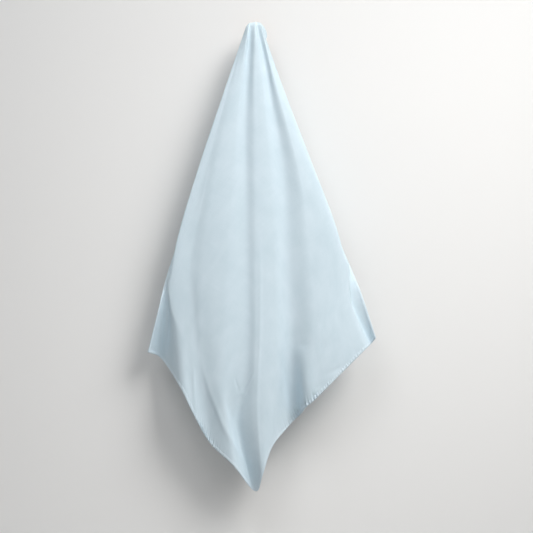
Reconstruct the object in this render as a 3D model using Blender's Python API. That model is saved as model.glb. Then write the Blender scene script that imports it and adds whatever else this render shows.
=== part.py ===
"""A square bandana hung by one corner over a turned wall knob.

Metres. The wall face is Y = 0 and the room lies toward -Y, X runs to the right and Z up.
The origin is the centre of the rose's flat back, where the knob is fixed to the wall.

The cloth is one square with a narrow hem turned along each side. It is described by rails:
lines that run from the hung corner down to the hem, along each ridge, valley and edge.
A row of the cloth is a smooth curve through the rails at one share of their length.
"""
from collections import namedtuple
import math

import bpy
import bmesh
import numpy as np

MM = 0.001

# Cloth: a single layer, with the hem's turned layers behind its border
CLOTH_WALL = 1.2 * MM
HEM_WALL = 1.0 * MM
HEM_WIDTH = 6.0 * MM
SEAM_GAP = 0.3 * MM
SPAN_COLUMNS = 5
CAP_ROWS = 6
HANG_ROWS = 34
# The cloth starts this share of its length from the hung corner's point.
TIP_SHARE = 0.004
# Below this share come only the lower hem's two lines.
LAST_PLAIN_SHARE = 0.975
# A hem is no wider than this share of its row, nor drawn out further than this slant.
WIDEST_HEM = 0.3
LEAST_SLANT = 0.7
# Steps for finding the cloth's ways and normals, and points for finding the hem's inner line
PROBE_PLACE = 0.02
PROBE_SHARE = 0.002
HEM_SAMPLES = 200
EDGE_SAMPLE = 6

# Knob and rose, all turned about the Y axis
KNOB_RADIUS = 17.0 * MM
KNOB_DEPTH = 62.0 * MM
NECK_RADIUS = 7.0 * MM
NECK_LENGTH = 15.0 * MM
FLARE_RADIUS = 8.2 * MM
FLARE_LENGTH = 8.0 * MM
FOOT_RADIUS = 11.0 * MM
FOOT_WALL = 3.0 * MM
ROSE_RADIUS = 17.0 * MM
ROSE_WALL = 9.0 * MM
ROSE_EDGE = 2.5 * MM
ROSE_EDGE_STEPS = 5
TURNED_SEGMENTS = 48
BALL_RINGS = 14

# Edges that turn by more than this are drawn sharp.
SHARP_CLOTH = math.radians(50.0)
SHARP_WOOD = math.radians(40.0)

# The cloth's middle surface lies this far from the knob's centre where it is draped over it.
CAP_CLEARANCE = 0.5 * MM
CAP_RADIUS = KNOB_RADIUS + CLOTH_WALL / 2 + SEAM_GAP + HEM_WALL + CAP_CLEARANCE
# The hung corner lies behind the knob's top, this high above its neck.
CORNER_ELEVATION = math.radians(50.0)

# Shares of a rail's length at which the table gives its place. The first is the knob's rim.
STATIONS = (0.045, 0.20, 0.42, 0.62, 0.73, 0.79, 0.86, 1.0)

# Millimetres. rim_z and hem_z are the rail's height at the rim and at the hem;
# x and out have one value for each station: sideways, and out from the wall.
Rail = namedtuple("Rail", "name rim_z hem_z x out")
RAILS = (
    Rail("edge_left", -12, -628,
         (-19, -57, -104, -144, -164, -176, -188, -211), (58, 52, 46, 46, 58, 71, 86, 74)),
    Rail("pocket_left", -4, -656,
         (-20, -28, -47, -64, -92, -160, -175, -176), (63, 64, 62, 60, 62, 79, 87, 50)),
    Rail("fold_left", 6, -695,
         (-20, -57, -110, -153, -172, -167, -156, -147), (69, 80, 88, 96, 98, 100, 101, 98)),
    Rail("panel_left", 7, -749,
         (-19, -52, -98, -130, -133, -132, -128, -120), (75, 89, 99, 104, 105, 105, 105, 102)),
    Rail("hollow_left", 9, -804,
         (-18, -44, -83, -102, -104, -103, -100, -89), (78, 93, 102, 106, 105, 104, 100, 82)),
    Rail("crest_left", 10, -849,
         (-14, -33, -49, -60, -63, -63, -64, -42), (83, 96, 107, 112, 113, 113, 112, 102)),
    Rail("valley_middle", 12, -900,
         (-10, -19, -19, -18, -20, -23, -26, -1), (81, 92, 104, 108, 106, 102, 94, 70)),
    Rail("crest_middle", 10, -863,
         (-3, -3, 1, 4, 4, 4, 8, 18), (86, 99, 110, 114, 115, 115, 113, 98)),
    Rail("flank_middle", 11, -808,
         (0, 14, 30, 37, 39, 40, 39, 35), (86, 99, 109, 112, 112, 112, 110, 98)),
    Rail("valley_right", 12, -755,
         (4, 27, 57, 64, 70, 72, 75, 87), (82, 92, 102, 105, 103, 101, 93, 60)),
    Rail("ridge_right", 10, -692,
         (12, 41, 86, 106, 114, 120, 125, 147), (83, 97, 109, 113, 114, 114, 114, 106)),
    Rail("fold_right", -12, -626,
         (20, 54, 107, 156, 180, 186, 186, 209), (70, 84, 97, 104, 106, 108, 109, 108)),
    Rail("pocket_right", -10, -612,
         (20, 24, 38, 52, 94, 171, 193, 225), (63, 64, 62, 60, 64, 86, 99, 86)),
    Rail("edge_right", -14, -599,
         (19, 51, 102, 148, 172, 187, 207, 235), (58, 52, 48, 48, 62, 78, 97, 98)),
)
LAST_RAIL = len(RAILS) - 1
TIP_RAIL = [rail.name for rail in RAILS].index("valley_middle")

Finish = namedtuple("Finish", "name colour roughness metallic")
CLOTH_FINISH = Finish("pale_blue_cotton", (0.56, 0.69, 0.77), 0.85, 0.0)
HEM_FINISH = Finish("pale_blue_hem", (0.60, 0.73, 0.81), 0.85, 0.0)
WOOD_FINISH = Finish("lacquered_beech", (0.62, 0.42, 0.24), 0.40, 0.0)


def clear_scene():
    """Remove every object that the file starts with."""
    for obj in list(bpy.data.objects):
        bpy.data.objects.remove(obj, do_unlink=True)


def make_material(finish):
    """A Principled material for one finish."""
    material = bpy.data.materials.new(finish.name)
    material.use_nodes = True
    shader = material.node_tree.nodes["Principled BSDF"]
    shader.inputs["Base Color"].default_value = (*finish.colour, 1.0)
    shader.inputs["Roughness"].default_value = finish.roughness
    shader.inputs["Metallic"].default_value = finish.metallic
    material.diffuse_color = (*finish.colour, 1.0)
    return material


def hermite(start, end, start_slope, end_slope, t):
    """A cubic between two points, with the slopes given for t from 0 to 1."""
    t2 = t * t
    t3 = t2 * t
    return (start * (2 * t3 - 3 * t2 + 1) + start_slope * (t3 - 2 * t2 + t)
            + end * (3 * t2 - 2 * t3) + end_slope * (t3 - t2))


def smooth_value(knots, values, at):
    """The smooth curve through values at the knots, read at one place."""
    last = len(knots) - 1
    i = min(max(int(np.searchsorted(knots, at, side="right")) - 1, 0), last - 1)
    width = knots[i + 1] - knots[i]

    def slope(k):
        low = max(k - 1, 0)
        high = min(k + 1, last)
        return (values[high] - values[low]) / (knots[high] - knots[low]) * width

    return hermite(values[i], values[i + 1], slope(i), slope(i + 1), (at - knots[i]) / width)


def knob_centre():
    return np.array((0.0, -KNOB_DEPTH, 0.0))


def rail_points(share):
    """Every rail's point at one share of its length, from the rim down to the hem."""
    points = []
    for rail in RAILS:
        x = smooth_value(STATIONS, rail.x, share)
        out = smooth_value(STATIONS, rail.out, share)
        fall = (share - STATIONS[0]) / (1.0 - STATIONS[0])
        z = rail.rim_z + (rail.hem_z - rail.rim_z) * fall
        points.append((x * MM, -out * MM, z * MM))
    return np.array(points)


def cap_point(rim_point, share):
    """A point on the way from the hung corner, over the knob, to a point of the rim."""
    corner = np.array((0.0, math.cos(CORNER_ELEVATION), math.sin(CORNER_ELEVATION)))
    rim = rim_point - knob_centre()
    rim_radius = np.linalg.norm(rim)
    rim = rim / rim_radius
    turn = math.acos(float(np.clip(corner @ rim, -1.0, 1.0)))
    way = share / STATIONS[0]
    direction = (corner * math.sin((1 - way) * turn) + rim * math.sin(way * turn)) / math.sin(turn)
    radius = CAP_RADIUS + (rim_radius - CAP_RADIUS) * way ** 2
    return knob_centre() + direction * radius


def cloth_row(share, places):
    """The cloth's points at one share of its length, at places counted in rails."""
    rails = rail_points(max(share, STATIONS[0]))
    knots = list(range(len(RAILS)))
    row = [smooth_value(knots, rails, place) for place in places]
    if share < STATIONS[0]:
        row = [cap_point(point, share) for point in row]
    return np.array(row)


def unit(vectors):
    return vectors / np.linalg.norm(vectors, axis=-1, keepdims=True)


def cloth_normals(share, places):
    """Unit normals that point to the cloth's front, for one row."""
    places = np.asarray(places)
    across = (cloth_row(share, np.minimum(places + PROBE_PLACE, LAST_RAIL))
              - cloth_row(share, np.maximum(places - PROBE_PLACE, 0)))
    along = (cloth_row(min(share + PROBE_SHARE, 1.0), places)
             - cloth_row(max(share - PROBE_SHARE, PROBE_SHARE), places))
    return unit(np.cross(along, across))


def slant(line_way, move_way):
    """How square two ways are to each other, from the least slant allowed to 1."""
    return max(float(np.linalg.norm(np.cross(unit(line_way), unit(move_way)))), LEAST_SLANT)


def hem_place(share, side):
    """The place, in rails, of the side hem's inner line in one row."""
    edge = 0.0 if side < 0 else float(LAST_RAIL)
    samples = np.linspace(edge, TIP_RAIL, HEM_SAMPLES)
    row = cloth_row(share, samples)
    step = PROBE_SHARE if share < 0.5 else -PROBE_SHARE
    edge_way = cloth_row(share + step, [edge])[0] - row[0]
    run = np.concatenate(([0.0], np.cumsum(np.linalg.norm(np.diff(row, axis=0), axis=1))))
    width = min(HEM_WIDTH / slant(edge_way, row[EDGE_SAMPLE] - row[0]), WIDEST_HEM * run[-1])
    return float(np.interp(width, run, samples))


def hem_share(place):
    """The share of the cloth's length at the lower hem's inner line."""
    rail_step = cloth_row(1.0, [place])[0] - cloth_row(1.0 - PROBE_SHARE, [place])[0]
    beside = np.clip([place - PROBE_PLACE, place + PROBE_PLACE], 0, LAST_RAIL)
    edge_way = np.subtract(*cloth_row(1.0, beside))
    width = HEM_WIDTH / slant(edge_way, rail_step)
    return 1.0 - PROBE_SHARE * width / float(np.linalg.norm(rail_step))


def cloth_grid():
    """The whole square's (share, place) grid; the hems lie behind its outer bands."""
    cap = np.linspace(TIP_SHARE, STATIONS[0], CAP_ROWS, endpoint=False)
    hang = np.linspace(STATIONS[0], LAST_PLAIN_SHARE, HANG_ROWS)
    grid = []
    for share in (*cap, *hang, None, 1.0):
        level = LAST_PLAIN_SHARE if share is None else share
        left = np.linspace(hem_place(level, -1), TIP_RAIL, TIP_RAIL * SPAN_COLUMNS + 1)
        right = np.linspace(TIP_RAIL, hem_place(level, 1), (LAST_RAIL - TIP_RAIL) * SPAN_COLUMNS + 1)
        places = [0.0, *left, *right[1:], float(LAST_RAIL)]
        grid.append([(hem_share(place) if share is None else share, place) for place in places])
    return grid


def wall_object(name, rows, front_out, back_out, material):
    """A closed wall between two distances from the cloth's middle, over (share, place) rows."""
    bm = bmesh.new()
    skins = ([], [])
    for row in rows:
        points = np.array([cloth_row(share, [place])[0] for share, place in row])
        normals = np.array([cloth_normals(share, [place])[0] for share, place in row])
        for skin, out in zip(skins, (front_out, back_out)):
            skin.append([bm.verts.new(point) for point in points + normals * out])
    front, back = skins
    last_row = len(rows) - 1
    last_column = len(rows[0]) - 1
    for i in range(last_row):
        for j in range(last_column):
            for skin in skins:
                bm.faces.new((skin[i][j], skin[i + 1][j], skin[i + 1][j + 1], skin[i][j + 1]))
    border = [(0, j) for j in range(last_column)]
    border += [(i, last_column) for i in range(last_row)]
    border += [(last_row, j) for j in range(last_column, 0, -1)]
    border += [(i, 0) for i in range(last_row, 0, -1)]
    for (i, j), (k, m) in zip(border, border[1:] + border[:1]):
        bm.faces.new((front[i][j], front[k][m], back[k][m], back[i][j]))
    bmesh.ops.recalc_face_normals(bm, faces=bm.faces[:])
    mesh = bpy.data.meshes.new(name)
    bm.to_mesh(mesh)
    bm.free()
    mesh.shade_smooth()
    mesh.set_sharp_from_angle(angle=SHARP_CLOTH)
    mesh.materials.append(material)
    obj = bpy.data.objects.new(name, mesh)
    bpy.context.scene.collection.objects.link(obj)
    return obj


def pull_back(from_pair, to_pair):
    """A pair moved from one pair toward the next, to leave a seam's gap before it."""
    start = cloth_row(from_pair[0], [from_pair[1]])[0]
    end = cloth_row(to_pair[0], [to_pair[1]])[0]
    keep = 1.0 - SEAM_GAP / float(np.linalg.norm(end - start))
    return tuple(a + (b - a) * keep for a, b in zip(from_pair, to_pair))


def build_cloth(panel_material, hem_material):
    """The square panel, and behind its border the four turned hems, made from its points."""
    grid = cloth_grid()
    wall_object("cloth_panel", grid, CLOTH_WALL / 2, -CLOTH_WALL / 2, panel_material)
    hem_front = -CLOTH_WALL / 2 - SEAM_GAP
    hem_back = hem_front - HEM_WALL
    tip = 1 + TIP_RAIL * SPAN_COLUMNS
    for name, first, last in (("hem_lower_left", 0, tip), ("hem_lower_right", tip, None)):
        band = [row[first:None if last is None else last + 1] for row in grid[-2:]]
        for row in band:
            at = (-1, -2) if first == 0 else (0, 1)
            row[at[0]] = pull_back(row[at[1]], row[at[0]])
        wall_object(name, band, hem_front, hem_back, hem_material)
    for name, columns in (("hem_upper_left", (0, 1)), ("hem_upper_right", (-2, -1))):
        band = [[row[j] for j in columns] for row in grid[:-1]]
        band[-1] = [pull_back(above, below) for above, below in zip(band[-2], band[-1])]
        wall_object(name, band, hem_front, hem_back, hem_material)


def turned_object(name, profile, material):
    """A solid turned about the Y axis from (radius, out) pairs, which start and end on it."""
    bm = bmesh.new()
    verts = [bm.verts.new((radius, -out, 0.0)) for radius, out in profile]
    edges = [bm.edges.new(pair) for pair in zip(verts, verts[1:])]
    bmesh.ops.spin(bm, geom=verts + edges, cent=(0, 0, 0), axis=(0, 1, 0),
                   angle=2 * math.pi, steps=TURNED_SEGMENTS)
    bmesh.ops.remove_doubles(bm, verts=bm.verts[:], dist=0.01 * MM)
    bmesh.ops.recalc_face_normals(bm, faces=bm.faces[:])
    mesh = bpy.data.meshes.new(name)
    bm.to_mesh(mesh)
    bm.free()
    mesh.shade_smooth()
    mesh.set_sharp_from_angle(angle=SHARP_WOOD)
    mesh.materials.append(material)
    obj = bpy.data.objects.new(name, mesh)
    bpy.context.scene.collection.objects.link(obj)
    return obj


def build_knob(material):
    """A ball on a waisted neck, whose foot stands on the rose."""
    foot = ROSE_WALL + SEAM_GAP
    neck_meets_ball = math.acos(NECK_RADIUS / KNOB_RADIUS)
    profile = [(0.0, foot), (FOOT_RADIUS, foot), (FOOT_RADIUS, foot + FOOT_WALL)]
    profile.append((FLARE_RADIUS, foot + FLARE_LENGTH))
    profile.append((NECK_RADIUS, foot + NECK_LENGTH))
    for i in range(BALL_RINGS + 1):
        angle = -neck_meets_ball + i * (math.pi / 2 + neck_meets_ball) / BALL_RINGS
        radius = KNOB_RADIUS * math.cos(angle) if i < BALL_RINGS else 0.0
        profile.append((radius, KNOB_DEPTH + KNOB_RADIUS * math.sin(angle)))
    return turned_object("knob", profile, material)


def build_rose(material):
    """The round plate between the knob and the wall, flat at the back."""
    profile = [(0.0, 0.0), (ROSE_RADIUS, 0.0), (ROSE_RADIUS, ROSE_WALL - ROSE_EDGE)]
    for i in range(1, ROSE_EDGE_STEPS + 1):
        angle = i * math.pi / 2 / ROSE_EDGE_STEPS
        profile.append((ROSE_RADIUS - ROSE_EDGE + ROSE_EDGE * math.cos(angle),
                        ROSE_WALL - ROSE_EDGE + ROSE_EDGE * math.sin(angle)))
    profile.append((0.0, ROSE_WALL))
    return turned_object("rose", profile, material)


def main():
    clear_scene()
    cloth = make_material(CLOTH_FINISH)
    hem = make_material(HEM_FINISH)
    wood = make_material(WOOD_FINISH)
    build_cloth(cloth, hem)
    build_knob(wood)
    build_rose(wood)


main()
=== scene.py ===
"""A plain square bandana hung by one corner over a turned wall knob: its looks.

Metres. The wall face is Y = 0 and the room lies toward -Y, X runs to the right and Z up.
The cloth hangs along rails from the hung corner down to the hem, close to its solid's. The side
folds open more softly than the solid's do, and the ridge at the lower right and the left
pocket's floor meet the hem a little way from where the solid's do. Creases, hem puckers and
stitches are laid out in the cloth's own flat measure.
"""
from collections import namedtuple
import math

import bmesh
import bpy
import numpy as np
from mathutils import Matrix, Vector


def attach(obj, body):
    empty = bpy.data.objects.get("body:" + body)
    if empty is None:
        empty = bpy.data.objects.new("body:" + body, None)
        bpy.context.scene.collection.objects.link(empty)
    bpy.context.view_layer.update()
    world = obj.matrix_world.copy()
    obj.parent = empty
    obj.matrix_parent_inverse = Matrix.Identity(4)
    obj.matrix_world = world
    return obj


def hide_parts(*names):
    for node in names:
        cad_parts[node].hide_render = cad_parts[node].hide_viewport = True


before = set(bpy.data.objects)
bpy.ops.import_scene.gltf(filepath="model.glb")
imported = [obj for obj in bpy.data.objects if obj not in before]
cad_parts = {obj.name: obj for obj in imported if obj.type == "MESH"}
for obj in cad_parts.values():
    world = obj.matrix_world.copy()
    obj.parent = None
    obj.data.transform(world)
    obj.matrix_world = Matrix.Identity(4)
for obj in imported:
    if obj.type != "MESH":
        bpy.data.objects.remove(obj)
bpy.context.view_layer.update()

MM = 0.001

# The square and its hem
SQUARE_SIDE = 700.0 * MM
SHELL_WALL = 0.5 * MM
HEM_WIDTH = 6.0 * MM

# Knob, as its solid has it
KNOB_DEPTH = 62.0 * MM
CAP_RADIUS = 19.4 * MM
CORNER_ELEVATION = math.radians(50.0)

# Shares of a rail's length at which the table gives its place. The first is the knob's rim.
STATIONS = (0.045, 0.20, 0.42, 0.62, 0.73, 0.79, 0.86, 1.0)
TIP_SHARE = 0.004

# Millimetres. rim_z and hem_z are the rail's height at the rim and at the hem;
# x and out have one value for each station: sideways, and out from the wall.
Rail = namedtuple("Rail", "name rim_z hem_z x out")
RAILS = (
    Rail("edge_left", -12, -628,
         (-19, -57, -104, -144, -167, -178, -188, -211), (58, 52, 46, 46, 62, 79, 88, 74)),
    Rail("pocket_left", -4, -642,
         (-20, -25, -36, -50, -161, -174, -179, -186), (63, 63, 61, 59, 78, 84, 76, 44)),
    Rail("fold_left", 6, -695,
         (-20, -57, -110, -153, -168, -163, -152, -147), (69, 85, 89, 91, 92, 93, 95, 98)),
    Rail("panel_left", 7, -749,
         (-19, -52, -98, -125, -126, -127, -125, -120), (75, 91, 96, 97, 98, 99, 101, 102)),
    Rail("hollow_left", 9, -804,
         (-18, -44, -83, -102, -104, -103, -100, -89), (78, 95, 103, 105, 105, 104, 103, 94)),
    Rail("crest_left", 10, -849,
         (-14, -33, -49, -60, -63, -63, -64, -42), (83, 96, 107, 112, 113, 113, 112, 102)),
    Rail("valley_middle", 12, -900,
         (-10, -19, -19, -18, -20, -25, -35, -1), (81, 93, 105, 109, 108, 104, 96, 80)),
    Rail("crest_middle", 10, -866,
         (-3, -3, 1, 4, 4, 2, 2, 14), (86, 99, 110, 114, 115, 115, 114, 108)),
    Rail("flank_middle", 11, -808,
         (0, 14, 30, 37, 39, 40, 39, 35), (86, 99, 109, 112, 112, 112, 110, 99)),
    Rail("valley_right", 12, -759,
         (4, 27, 57, 64, 69, 69, 68, 80), (82, 92, 102, 105, 103, 101, 93, 66)),
    Rail("ridge_right", 10, -721,
         (12, 41, 86, 106, 113, 115, 113, 114), (83, 97, 109, 113, 114, 114, 114, 107)),
    Rail("fold_right", -12, -626,
         (20, 54, 107, 156, 176, 178, 178, 209), (70, 84, 97, 104, 105, 106, 108, 108)),
    Rail("pocket_right", -10, -612,
         (20, 21, 28, 38, 167, 182, 190, 225), (63, 63, 61, 59, 82, 96, 99, 90)),
    Rail("edge_right", -14, -599,
         (19, 51, 102, 148, 175, 190, 207, 235), (58, 52, 48, 50, 70, 86, 98, 98)),
)
LAST_RAIL = len(RAILS) - 1
TIP_RAIL = [rail.name for rail in RAILS].index("valley_middle")

# The sheet's rows and columns: (from, to, how many), closer where small forms lie
ROW_BANDS = ((TIP_SHARE, 0.045, 12), (0.045, 0.70, 50), (0.70, 0.82, 34), (0.82, 0.95, 24),
             (0.95, 1.0, 26))
COLUMN_BANDS = ((0, 2, 40), (2, 4, 60), (4, 6, 56), (6, 8, 46), (8, 10, 80), (10, 13, 46))

# Soft creases. The path runs through (share, rail) places, rails counted from the left.
# width is the half width and height the rise, in millimetres, a trough's below zero.
Crease = namedtuple("Crease", "name path width height")
CREASES = (
    # Front, from the knob down
    Crease("top_left", ((0.040, 6.50), (0.060, 6.42), (0.084, 6.22), (0.157, 6.21), (0.24, 6.15)),
           4.5, -1.6),
    Crease("top_right", ((0.040, 8.00), (0.060, 8.40), (0.086, 9.05), (0.146, 9.30), (0.22, 9.20)),
           5.0, -1.4),
    Crease("top_middle", ((0.050, 7.10), (0.086, 7.16), (0.139, 7.03), (0.30, 7.10)), 3.5, 0.7),
    Crease("long_line", ((0.50, 7.20), (0.60, 7.20), (0.75, 7.12), (0.90, 7.02), (0.985, 6.95)),
           5.0, 0.7),
    Crease("shoulder", ((0.36, 2.95), (0.445, 3.04), (0.511, 2.92), (0.60, 2.83)), 9.0, 0.9),
    Crease("curved", ((0.815, 3.85), (0.867, 4.33), (0.895, 4.62), (0.924, 4.90), (0.940, 5.50),
                      (0.955, 5.90)), 10.0, 1.5),
    Crease("valley_wall", ((0.84, 9.60), (0.92, 9.70), (0.97, 9.75), (1.12, 9.78)), 30.0, 7.0),
    Crease("valley_floor", ((0.84, 8.75), (0.92, 8.80), (0.97, 8.85), (1.08, 8.85)), 18.0, -3.0),
    Crease("beside_curved", ((0.875, 3.15), (0.93, 3.14), (0.985, 3.15)), 11.0, 0.6),
    Crease("sharp_fold", ((0.768, 6.80), (0.779, 6.30), (0.788, 6.05), (0.800, 5.84)), 2.4, -1.0),
    Crease("sharp_lip", ((0.772, 7.00), (0.784, 6.50), (0.795, 6.22), (0.806, 6.00)), 2.8, 0.8),
    Crease("sharp_arm", ((0.780, 5.55), (0.790, 5.70), (0.800, 5.86)), 2.6, -0.8),
    Crease("below_sharp", ((0.800, 5.98), (0.84, 6.05), (0.874, 6.00), (0.960, 5.88)), 7.0, -1.7),
    Crease("left_pocket", ((0.80, 1.50), (0.86, 1.35), (0.92, 1.25), (1.00, 1.20)), 16.0, -3.5),
    Crease("right_pocket", ((0.82, 11.50), (0.88, 11.62), (0.93, 11.80), (1.03, 12.10)), 6.0, -2.0),
    Crease("right_dimple", ((0.865, 10.20), (0.885, 10.26), (0.905, 10.30)), 9.0, -1.2),
    Crease("right_dimple_high", ((0.84, 10.66), (0.87, 10.72), (0.90, 10.76)), 7.0, -0.8),
    Crease("small_pleat", ((0.960, 10.27), (0.980, 10.48), (0.995, 10.64)), 2.8, -1.4),
    Crease("small_pleat_low", ((0.965, 10.05), (0.982, 10.17), (0.996, 10.30)), 2.4, -1.1),
    Crease("tip_pocket", ((0.90, 5.95), (0.94, 5.92), (0.985, 5.90), (1.06, 5.90)), 5.0, -2.0),
    # Hidden sides: like those of the front
    Crease("side_left", ((0.30, 0.90), (0.42, 0.80), (0.56, 0.95), (0.68, 0.85)), 7.0, 1.6),
    Crease("side_left_low", ((0.46, 1.55), (0.56, 1.45), (0.66, 1.60)), 6.0, -1.4),
    Crease("back_left_sharp", ((0.52, 0.35), (0.545, 0.50), (0.565, 0.72)), 2.6, -0.9),
    Crease("side_right", ((0.28, 12.10), (0.40, 12.20), (0.55, 12.05), (0.67, 12.15)), 7.0, 1.6),
    Crease("side_right_low", ((0.50, 11.45), (0.60, 11.55), (0.69, 11.40)), 6.0, -1.5),
    Crease("back_right_sharp", ((0.60, 12.70), (0.615, 12.55), (0.640, 12.35)), 2.6, -0.9),
)

# Where the stitches draw the hem into puckers: millimetres along the side from its outer end
Puckers = namedtuple("Puckers", "side at reach depth")
PUCKERS = (
    Puckers("lower_left", 200, 260, 0.4),
    Puckers("lower_left", 430, 60, 1.3),
    Puckers("lower_right", 170, 110, 0.6),
    Puckers("lower_right", 360, 75, 1.9),
    Puckers("upper_left", 350, 330, 0.2),
    Puckers("upper_right", 350, 330, 0.2),
)

# Two waves make a pucker. Each has its share of the depth and its length, and it wanders this
# many radians to and fro over the last length. The lengths are in millimetres.
PuckerWave = namedtuple("PuckerWave", "share length wander wander_length")
PUCKER_WAVES = (
    PuckerWave(1.0, 9.5, 1.7, 31.0),
    PuckerWave(0.6, 15.7, 2.1, 47.0),
)
# Puckers are deepest this far in from the edge, and fade over this much to both sides.
PUCKER_INSET = 6.0
PUCKER_FADE = 10.0

# A crease's path is drawn in this many points. Its ends are softer the higher the taper's power.
CREASE_POINTS = 24
CREASE_TAPER = 0.8

# Steps along the rails and across them that measure the cloth's slope
SHARE_STEP = 0.002
PLACE_STEP = 0.02

# The camera sees 533 px at this scale on the plane of the cloth's front.
PIXEL = 1.95 * MM
PHOTO_SIDE = 533
APEX_PX = (255.4, 30.7)
FRONT_PLANE = -100.0 * MM
CAMERA_DISTANCE = 4.0


# ---- The cloth's form ----

def spline_weights(knots, at):
    """Weights for the smooth curve through values at the knots, a row for each place."""
    knots = np.asarray(knots, float)
    at = np.asarray(at, float)
    last = len(knots) - 1
    i = np.clip(np.searchsorted(knots, at, side="right") - 1, 0, last - 1)
    width = knots[i + 1] - knots[i]
    t = (at - knots[i]) / width
    rows = np.arange(len(at))
    weights = np.zeros((len(at), last + 1))
    weights[rows, i] += 2 * t ** 3 - 3 * t ** 2 + 1
    weights[rows, i + 1] += 3 * t ** 2 - 2 * t ** 3
    for k, slope in ((i, t ** 3 - 2 * t ** 2 + t), (i + 1, t ** 3 - t ** 2)):
        low = np.maximum(k - 1, 0)
        high = np.minimum(k + 1, last)
        slope = slope * width / (knots[high] - knots[low])
        weights[rows, high] += slope
        weights[rows, low] -= slope
    return weights


def unit(vectors):
    return vectors / np.linalg.norm(vectors, axis=-1, keepdims=True)


RAIL_X = np.array([rail.x for rail in RAILS], float)
RAIL_OUT = np.array([rail.out for rail in RAILS], float)
RIM_Z = np.array([rail.rim_z for rail in RAILS], float)
HEM_Z = np.array([rail.hem_z for rail in RAILS], float)
KNOB_CENTRE = np.array((0.0, -KNOB_DEPTH, 0.0))
CORNER_WAY = np.array((0.0, math.cos(CORNER_ELEVATION), math.sin(CORNER_ELEVATION)))


def base_points(shares, places):
    """The cloth's broad form, without its creases, at shares of the rails and rail places."""
    hanging = np.maximum(shares, STATIONS[0])
    along = spline_weights(STATIONS, hanging)
    fall = (hanging - STATIONS[0]) / (1.0 - STATIONS[0])
    rails = np.stack((along @ RAIL_X.T, -(along @ RAIL_OUT.T),
                      RIM_Z + (HEM_Z - RIM_Z) * fall[:, None]), axis=-1) * MM
    points = np.einsum("nk,nkj->nj", spline_weights(range(LAST_RAIL + 1), places), rails)
    over = shares < STATIONS[0]
    if over.any():
        rim = points[over] - KNOB_CENTRE
        rim_radius = np.linalg.norm(rim, axis=-1, keepdims=True)
        rim = rim / rim_radius
        turn = np.arccos(np.clip(rim @ CORNER_WAY, -1.0, 1.0))[:, None]
        way = (shares[over] / STATIONS[0])[:, None]
        ways = (CORNER_WAY * np.sin((1 - way) * turn) + rim * np.sin(way * turn)) / np.sin(turn)
        points[over] = KNOB_CENTRE + ways * (CAP_RADIUS + (rim_radius - CAP_RADIUS) * way ** 2)
    return points


def base_normals(shares, places):
    """Unit normals to the cloth's front."""
    across = (base_points(shares, np.minimum(places + PLACE_STEP, LAST_RAIL))
              - base_points(shares, np.maximum(places - PLACE_STEP, 0)))
    along = (base_points(np.minimum(shares + SHARE_STEP, 1.0), places)
             - base_points(np.maximum(shares - SHARE_STEP, SHARE_STEP), places))
    return unit(np.cross(along, across))


def run_of(points):
    """The length along a row of points, from its start."""
    return np.concatenate(([0.0], np.cumsum(np.linalg.norm(np.diff(points, axis=0), axis=1))))


HEM_PLACES = np.linspace(0, LAST_RAIL, LAST_RAIL * 40 + 1)
HEM_RUN = run_of(base_points(np.ones_like(HEM_PLACES), HEM_PLACES))
TIP_RUN = float(np.interp(TIP_RAIL, HEM_PLACES, HEM_RUN))


def flat_points(shares, places):
    """The same places on the flat square, in metres from the hung corner."""
    run = np.interp(places, HEM_PLACES, HEM_RUN)
    u = np.clip(run / TIP_RUN, 0.0, 1.0)
    v = np.clip((HEM_RUN[-1] - run) / (HEM_RUN[-1] - TIP_RUN), 0.0, 1.0)
    return np.stack((u * shares, v * shares), axis=-1) * SQUARE_SIDE


def crease_height(crease, shares, places, flat):
    """A crease's rise over the cloth, soft at both ends."""
    path = np.array(crease.path, float)
    at = np.linspace(0, len(path) - 1, CREASE_POINTS)
    path = spline_weights(range(len(path)), at) @ path
    line = flat_points(path[:, 0], path[:, 1])
    nearest = np.full(len(flat), np.inf)
    way = np.zeros(len(flat))
    for i, (start, end) in enumerate(zip(line, line[1:])):
        step = end - start
        t = np.clip((flat - start) @ step / (step @ step), 0.0, 1.0)
        gap = np.linalg.norm(flat - start - t[:, None] * step, axis=-1)
        closer = gap < nearest
        nearest = np.where(closer, gap, nearest)
        way = np.where(closer, (i + t) / (len(line) - 1), way)
    taper = np.sin(np.pi * np.clip(way, 0.0, 1.0)) ** CREASE_TAPER
    return crease.height * MM * taper * np.exp(-(nearest / (crease.width * MM)) ** 2)


def side_measures(flat):
    """For each side: how far in from it, and how far along it, in metres of flat cloth."""
    u, v = flat[:, 0], flat[:, 1]
    return {
        "lower_left": (SQUARE_SIDE - v, u),
        "lower_right": (SQUARE_SIDE - u, v),
        "upper_left": (u, SQUARE_SIDE - v),
        "upper_right": (v, SQUARE_SIDE - u),
    }


def pucker_height(flat):
    """The small waves that the stitches draw into the cloth beside the hem."""
    sides = side_measures(flat)
    height = np.zeros(len(flat))
    for puckers in PUCKERS:
        inward, along = (value / MM for value in sides[puckers.side])
        wave = sum(each.share * np.sin(along / each.length * 2 * np.pi
                                       + each.wander * np.sin(along / each.wander_length))
                   for each in PUCKER_WAVES)
        reach = np.exp(-((along - puckers.at) / puckers.reach) ** 2)
        fade = np.exp(-((inward - PUCKER_INSET) / PUCKER_FADE) ** 2)
        height += puckers.depth * MM * reach * fade * wave
    return height


def cloth_points(shares, places):
    """The finished cloth's middle and its base normals."""
    shares = np.asarray(shares, float)
    places = np.asarray(places, float)
    flat = flat_points(shares, places)
    normals = base_normals(shares, places)
    height = pucker_height(flat)
    for crease in CREASES:
        height += crease_height(crease, shares, places, flat)
    return base_points(shares, places) + normals * height[:, None], normals


# ---- Pieces ----

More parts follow.
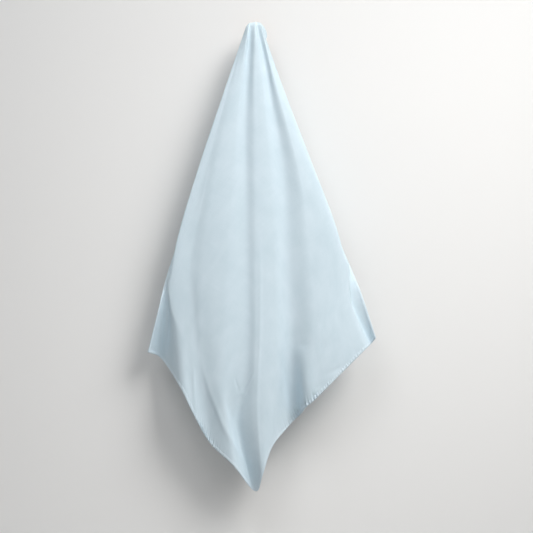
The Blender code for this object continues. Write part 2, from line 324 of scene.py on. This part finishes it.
def linked(name, bm, material):
    """A new piece from a bmesh, smooth and with one material."""
    mesh = bpy.data.meshes.new(name)
    bm.to_mesh(mesh)
    bm.free()
    mesh.shade_smooth()
    mesh.materials.append(material)
    piece = bpy.data.objects.new(name, mesh)
    bpy.context.scene.collection.objects.link(piece)
    return piece


def bands(table):
    """Places from (from, to, how many) bands, joined."""
    parts = [np.linspace(start, end, count, endpoint=False) for start, end, count in table]
    return np.concatenate(parts + [[table[-1][1]]])


def grid_mesh(columns, rows):
    """A plain grid, with each vertex's column and row, counted from the left and the top."""
    bm = bmesh.new()
    bmesh.ops.create_grid(bm, x_segments=columns - 1, y_segments=rows - 1, size=1.0)
    where = np.array([vert.co[:2] for vert in bm.verts])
    column = np.rint((where[:, 0] + 1) / 2 * (columns - 1)).astype(int)
    row = np.rint((1 - where[:, 1]) / 2 * (rows - 1)).astype(int)
    return bm, column, row


def move_verts(bm, points):
    for vert, point in zip(bm.verts, points):
        vert.co = point


def lay_flat_uv(bm, flat):
    """The cloth's flat measure as a UV map, in metres, for its weave."""
    layer = bm.loops.layers.uv.new("flat_cloth")
    bm.verts.index_update()
    for face in bm.faces:
        for loop in face.loops:
            loop[layer].uv = flat[loop.vert.index]


def build_sheet(material):
    """The square as one thin shell."""
    rows = bands(ROW_BANDS)
    columns = bands(COLUMN_BANDS)
    bm, column, row = grid_mesh(len(columns), len(rows))
    shares, places = rows[row], columns[column]
    points, normals = cloth_points(shares, places)
    move_verts(bm, points)
    lay_flat_uv(bm, flat_points(shares, places))
    sheet = linked("bandana_cloth", bm, material)
    shell = sheet.modifiers.new("shell", "SOLIDIFY")
    shell.thickness = SHELL_WALL
    shell.offset = 0.0
    return sheet


def slant_widths(shares, places, inner_shares, inner_places):
    """How far apart two lines run, square to the first."""
    edge = base_points(shares, places)
    inner = base_points(inner_shares, inner_places)
    along = unit(np.gradient(edge, axis=0))
    across = inner - edge
    return np.linalg.norm(across - (across * along).sum(-1, keepdims=True) * along, axis=-1)


# Steps inward from a side's edge, in shares of the rails or in rail places, that tell how wide
# the cloth is there, and the least width that is taken
INWARD_SHARE = 0.004
INWARD_PLACE = 0.05
LEAST_WIDTH = 0.2 * MM


def hem_lines(side, count):
    """A side's edge line and the way inward from it, as (share, place) and their steps."""
    if side.startswith("lower"):
        ends = (0.0, TIP_RAIL) if side == "lower_left" else (LAST_RAIL, TIP_RAIL)
        fine = np.linspace(*ends, count * 4)
        run = run_of(base_points(np.ones_like(fine), fine))
        places = np.interp(np.linspace(0, run[-1], count), run, fine)
        shares = np.ones(count)
        share_step, place_step = -INWARD_SHARE, 0.0
    else:
        shares = np.linspace(TIP_SHARE, 1.0, count)
        places = np.full(count, 0.0 if side == "upper_left" else float(LAST_RAIL))
        share_step, place_step = 0.0, INWARD_PLACE if side == "upper_left" else -INWARD_PLACE
    width = slant_widths(shares, places, shares + share_step, places + place_step)
    width = np.maximum(width, LEAST_WIDTH)
    return shares, places, share_step / width, place_step / width


# The turned hem's section in millimetres: in from the edge, and out to the front
HEM_SECTION = ((5.9, -0.25), (5.3, 0.22), (4.3, 0.55), (3.0, 0.72), (1.7, 0.68), (0.7, 0.50),
               (0.0, 0.15), (-0.3, -0.35), (0.0, -0.85), (0.8, -1.10), (2.0, -1.20),
               (3.5, -1.20), (5.0, -1.10), (5.9, -0.95), (6.2, -0.62))
# How many sections a side has, the step inward that tells which way is out of the cloth, and
# how near to each other points are one
HEM_COLUMNS = 420
HEM_EDGE_STEP = 0.5 * MM
HEM_MERGE = 0.002 * MM


def build_hem(side, material):
    """One side's hem, turned to the back and drawn down by its stitches."""
    shares, places, share_in, place_in = hem_lines(side, HEM_COLUMNS)
    bm, column, row = grid_mesh(HEM_COLUMNS, len(HEM_SECTION) + 1)
    section = np.array(HEM_SECTION + HEM_SECTION[:1]) * MM
    inward, out = section[row].T
    # Near the hung corner the hem can't be wider than the cloth.
    narrow = np.clip(np.abs(place_in[column]) * HEM_WIDTH / 3.0, 1.0, None)
    inward = inward / narrow
    at_shares = np.clip(shares[column] + share_in[column] * np.maximum(inward, 0.0), TIP_SHARE, 1.0)
    at_places = np.clip(places[column] + place_in[column] * np.maximum(inward, 0.0), 0, LAST_RAIL)
    points, normals = cloth_points(at_shares, at_places)
    edge_shares = shares[column] + share_in[column] * HEM_EDGE_STEP
    edge_places = places[column] + place_in[column] * HEM_EDGE_STEP
    outward = unit(base_points(shares[column], places[column]) - base_points(edge_shares, edge_places))
    points = points + normals * out[:, None] + outward * np.maximum(-inward, 0.0)[:, None]
    move_verts(bm, points)
    lay_flat_uv(bm, flat_points(at_shares, at_places))
    bmesh.ops.remove_doubles(bm, verts=bm.verts[:], dist=HEM_MERGE)
    bmesh.ops.holes_fill(bm, edges=[edge for edge in bm.edges if edge.is_boundary], sides=0)
    bmesh.ops.recalc_face_normals(bm, faces=bm.faces[:])
    return linked("turned_hem_" + side, bm, material)


STITCH_LENGTH = 2.3 * MM
STITCH_PITCH = 3.0 * MM
THREAD_RADIUS = 0.22 * MM
STITCH_INSET = 5.1 * MM
# The line of stitches starts and ends this far from a side's ends.
STITCH_START = 14.0 * MM
STITCH_END = 5.0 * MM
# Out from the cloth's middle, to the front and to the back of the hem
STITCH_OUTS = (0.34 * MM, -1.15 * MM)
STITCH_LINE_POINTS = 900


def build_stitches(material):
    """Straight stitches that hold the hems, on the cloth's front and back."""
    bm = bmesh.new()
    for side in ("lower_left", "lower_right", "upper_left", "upper_right"):
        shares, places, share_in, place_in = hem_lines(side, STITCH_LINE_POINTS)
        shares = np.clip(shares + share_in * STITCH_INSET, TIP_SHARE, 1.0)
        places = np.clip(places + place_in * STITCH_INSET, 0, LAST_RAIL)
        points, normals = cloth_points(shares, places)
        run = run_of(points)
        marks = np.arange(STITCH_START, run[-1] - STITCH_END, STITCH_PITCH)
        for out in STITCH_OUTS:
            line = points + normals * out
            starts, ends = (
                np.stack([np.interp(at, run, line[:, i]) for i in range(3)], axis=-1)
                for at in (marks, marks + STITCH_LENGTH))
            for start, end in zip(starts, ends):
                way = Vector(end - start)
                turn = way.to_track_quat("X", "Z").to_matrix().to_4x4()
                size = Matrix.Diagonal((way.length / 2, THREAD_RADIUS, THREAD_RADIUS, 1.0))
                place = Matrix.Translation(Vector((start + end) / 2)) @ turn @ size
                bmesh.ops.create_icosphere(bm, subdivisions=1, radius=1.0, matrix=place)
    return linked("hem_stitches", bm, material)


# ---- Finishes ----

def linear(hex_colour):
    """An sRGB hex colour as linear light."""
    parts = [int(hex_colour[i:i + 2], 16) / 255 for i in (1, 3, 5)]
    light = [p / 12.92 if p <= 0.04045 else ((p + 0.055) / 1.055) ** 2.4 for p in parts]
    return (*light, 1.0)


def add_node(tree, kind, settings=None, values=None, links=None):
    """Add a node with its settings, its sockets' values and the sockets that feed it."""
    node = tree.nodes.new(kind)
    for key, value in (settings or {}).items():
        setattr(node, key, value)
    for key, value in (values or {}).items():
        node.inputs[key].default_value = value
    for key, source in (links or {}).items():
        tree.links.new(source, node.inputs[key])
    return node


def wave_scale(spacing):
    """The Wave texture's scale for bands this many metres apart."""
    return 2 * math.pi / 20 / spacing


def new_finish(name, values):
    """A Principled material with its constant values, and its tree and shader."""
    material = bpy.data.materials.new(name)
    material.use_nodes = True
    tree = material.node_tree
    shader = tree.nodes["Principled BSDF"]
    for key, value in values.items():
        shader.inputs[key].default_value = value
    return material, tree, shader


def woven_cotton(name, light_hex, deep_hex):
    """Fine plain-woven cotton: matt, with a low soft sheen from its fibre ends.

    It also gives the turned hems and the sewing thread, which are the same fibre.
    """
    material, tree, shader = new_finish(name, {
        "Roughness": 0.82, "IOR": 1.45, "Specular IOR Level": 0.25,
        "Sheen Weight": 0.18, "Sheen Roughness": 0.55, "Sheen Tint": linear("#E6F2FA")})
    flat = add_node(tree, "ShaderNodeUVMap", {"uv_map": "flat_cloth"}).outputs["UV"]
    # Threads lie 0.3 mm apart in the real cloth; they are drawn at 0.8 mm, to show close by.
    threads = [add_node(tree, "ShaderNodeTexWave", {"bands_direction": way},
                        {"Scale": wave_scale(0.8 * MM), "Distortion": 0.6, "Detail": 1.0,
                         "Detail Scale": 0.3}, {"Vector": flat}).outputs["Fac"]
               for way in ("X", "Y")]
    weave = add_node(tree, "ShaderNodeMath", {"operation": "MULTIPLY"}, None,
                     {0: threads[0], 1: threads[1]}).outputs[0]
    # Slubs: threads that run thicker for a few centimetres, along both ways of the weave
    slubs = []
    for size in ((1 / (1.6 * MM), 1 / (60 * MM), 1.0), (1 / (60 * MM), 1 / (1.6 * MM), 1.0)):
        stretched = add_node(tree, "ShaderNodeMapping", None, {"Scale": size}, {"Vector": flat})
        slubs.append(add_node(tree, "ShaderNodeTexNoise", None, {"Scale": 1.0, "Detail": 2.0},
                              {"Vector": stretched.outputs[0]}).outputs["Fac"])
    slub = add_node(tree, "ShaderNodeMath", {"operation": "ADD"}, None,
                    {0: slubs[0], 1: slubs[1]}).outputs[0]
    mottle = add_node(tree, "ShaderNodeTexNoise", None,
                      {"Scale": 1 / (45 * MM), "Detail": 3.0}, {"Vector": flat}).outputs["Fac"]
    mixed = add_node(tree, "ShaderNodeMath", {"operation": "MULTIPLY_ADD"}, {1: 0.35},
                     {0: slub, 2: mottle}).outputs[0]
    spread = add_node(tree, "ShaderNodeMapRange", None,
                      {"From Min": 0.6, "From Max": 1.1}, {"Value": mixed}).outputs[0]
    colour = add_node(tree, "ShaderNodeMix", {"data_type": "RGBA"},
                      {"A": linear(deep_hex), "B": linear(light_hex)}, {"Factor": spread})
    tree.links.new(colour.outputs["Result"], shader.inputs["Base Color"])
    grain = add_node(tree, "ShaderNodeMath", {"operation": "MULTIPLY_ADD"}, {1: 0.5},
                     {0: slub, 2: weave}).outputs[0]
    bump = add_node(tree, "ShaderNodeBump", None, {"Strength": 0.2, "Distance": 0.15 * MM},
                    {"Height": grain})
    tree.links.new(bump.outputs["Normal"], shader.inputs["Normal"])
    return material


def lacquered_beech(name):
    """Turned beech: short brown flecks and faint growth lines along Y, under satin lacquer."""
    material, tree, shader = new_finish(name, {
        "Roughness": 0.38, "IOR": 1.5, "Coat Weight": 0.35, "Coat Roughness": 0.22})
    place = add_node(tree, "ShaderNodeTexCoord").outputs["Object"]
    # Growth lines about 2.5 mm apart
    lines = add_node(tree, "ShaderNodeTexWave", {"bands_direction": "X"},
                     {"Scale": wave_scale(2.5 * MM), "Distortion": 3.0, "Detail": 2.0,
                      "Detail Scale": 1.2}, {"Vector": place}).outputs["Fac"]
    grain = add_node(tree, "ShaderNodeMapping", None,
                     {"Scale": (1 / (0.7 * MM), 1 / (5 * MM), 1 / (0.7 * MM))}, {"Vector": place})
    flecks = add_node(tree, "ShaderNodeTexNoise", None, {"Scale": 1.0, "Detail": 3.0},
                      {"Vector": grain.outputs[0]}).outputs["Fac"]
    tone = add_node(tree, "ShaderNodeMath", {"operation": "MULTIPLY_ADD"}, {1: 0.4},
                    {0: lines, 2: flecks}).outputs[0]
    ramp = add_node(tree, "ShaderNodeMapRange", None,
                    {"From Min": 0.35, "From Max": 1.0}, {"Value": tone}).outputs[0]
    colour = add_node(tree, "ShaderNodeMix", {"data_type": "RGBA"},
                      {"A": linear("#C48E5C"), "B": linear("#9A6636")}, {"Factor": ramp})
    tree.links.new(colour.outputs["Result"], shader.inputs["Base Color"])
    bump = add_node(tree, "ShaderNodeBump", None, {"Strength": 0.1, "Distance": 0.1 * MM},
                    {"Height": flecks})
    tree.links.new(bump.outputs["Normal"], shader.inputs["Normal"])
    return material


def studio_paint(name, hex_colour):
    """Matt pale paint of the wall and floor, which let the camera look through from behind."""
    material, tree, shader = new_finish(name, {"Roughness": 0.95, "Specular IOR Level": 0.1,
                                               "Base Color": linear(hex_colour)})
    side = add_node(tree, "ShaderNodeNewGeometry").outputs["Backfacing"]
    clear = add_node(tree, "ShaderNodeBsdfTransparent").outputs["BSDF"]
    both = add_node(tree, "ShaderNodeMixShader", None, None,
                    {0: side, 1: shader.outputs["BSDF"], 2: clear})
    tree.links.new(both.outputs["Shader"], tree.nodes["Material Output"].inputs["Surface"])
    return material


# ---- Studio ----

FLOOR_Z = -1.75
WALL_HALF = (4.0, 2.6)
FLOOR_HALF = (4.0, 3.0)


def build_stage(material):
    """A plain pale wall and floor."""
    for name, size, turn, place in (
            ("studio_wall", WALL_HALF, math.pi / 2, (0.0, 0.0, FLOOR_Z + WALL_HALF[1])),
            ("studio_floor", FLOOR_HALF, 0.0, (0.0, -FLOOR_HALF[1], FLOOR_Z))):
        bm = bmesh.new()
        bmesh.ops.create_grid(bm, x_segments=1, y_segments=1, size=1.0)
        bmesh.ops.scale(bm, vec=(*size, 1.0), verts=bm.verts[:])
        bmesh.ops.rotate(bm, matrix=Matrix.Rotation(turn, 3, "X"), verts=bm.verts[:])
        bmesh.ops.translate(bm, vec=place, verts=bm.verts[:])
        linked(name, bm, material)


def add_light(name, place, aim, size, power, colour, spread=180.0):
    """A square soft box. spread is its beam's full angle in degrees."""
    data = bpy.data.lights.new(name, "AREA")
    data.shape = "SQUARE"
    data.size = size
    data.energy = power
    data.spread = math.radians(spread)
    data.color = linear(colour)[:3]
    light = bpy.data.objects.new(name, data)
    light.location = place
    light.rotation_euler = (Vector(aim) - Vector(place)).to_track_quat("-Z", "Y").to_euler()
    bpy.context.scene.collection.objects.link(light)


def build_camera():
    data = bpy.data.cameras.new("camera")
    data.sensor_width = 36.0
    data.lens = data.sensor_width * CAMERA_DISTANCE / (PHOTO_SIDE * PIXEL)
    camera = bpy.data.objects.new("camera", data)
    camera.location = ((PHOTO_SIDE / 2 - APEX_PX[0]) * PIXEL, FRONT_PLANE - CAMERA_DISTANCE,
                       (APEX_PX[1] - PHOTO_SIDE / 2) * PIXEL)
    camera.rotation_euler = (math.pi / 2, 0.0, 0.0)
    bpy.context.scene.collection.objects.link(camera)
    bpy.context.scene.camera = camera


def build_studio():
    scene = bpy.context.scene
    scene.view_settings.view_transform = "Standard"
    scene.world = bpy.data.worlds.new("soft_room")
    scene.world.use_nodes = True
    sky = scene.world.node_tree.nodes["Background"]
    sky.inputs["Color"].default_value = linear("#FAFAFA")
    sky.inputs["Strength"].default_value = 0.32
    build_stage(studio_paint("matt_white_paint", "#ECECEB"))
    # The key box's narrow beam lets the light fall off toward the tip, as in the photo.
    add_light("key_box", (1.3, -1.5, 1.25), (0.42, -0.1, -0.24), 1.5, 9.4, "#FFFDFB", spread=58.0)
    add_light("fill_box", (-0.5, -1.8, 1.4), (0.0, -0.1, 0.0), 1.2, 15.5, "#FAFCFF")


# ---- The whole ----

build_camera()
cloth = woven_cotton("pale_blue_plain_weave", "#D4E4ED", "#CBDDE6")
hem_cloth = woven_cotton("pale_blue_turned_hem", "#D8E7F0", "#D0E0EA")
thread = woven_cotton("pale_blue_sewing_thread", "#DAE8F0", "#D3E2EC")
beech = lacquered_beech("lacquered_beech")

sheet = build_sheet(cloth)
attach(sheet, "root")
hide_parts("cloth_panel")

for side in ("upper_left", "upper_right", "lower_left", "lower_right"):
    hem = build_hem(side, hem_cloth)
    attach(hem, "root")
    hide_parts("hem_" + side)

stitches = build_stitches(thread)
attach(stitches, "root")

for node in ("knob", "rose"):
    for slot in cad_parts[node].material_slots:
        slot.material = beech

build_studio()
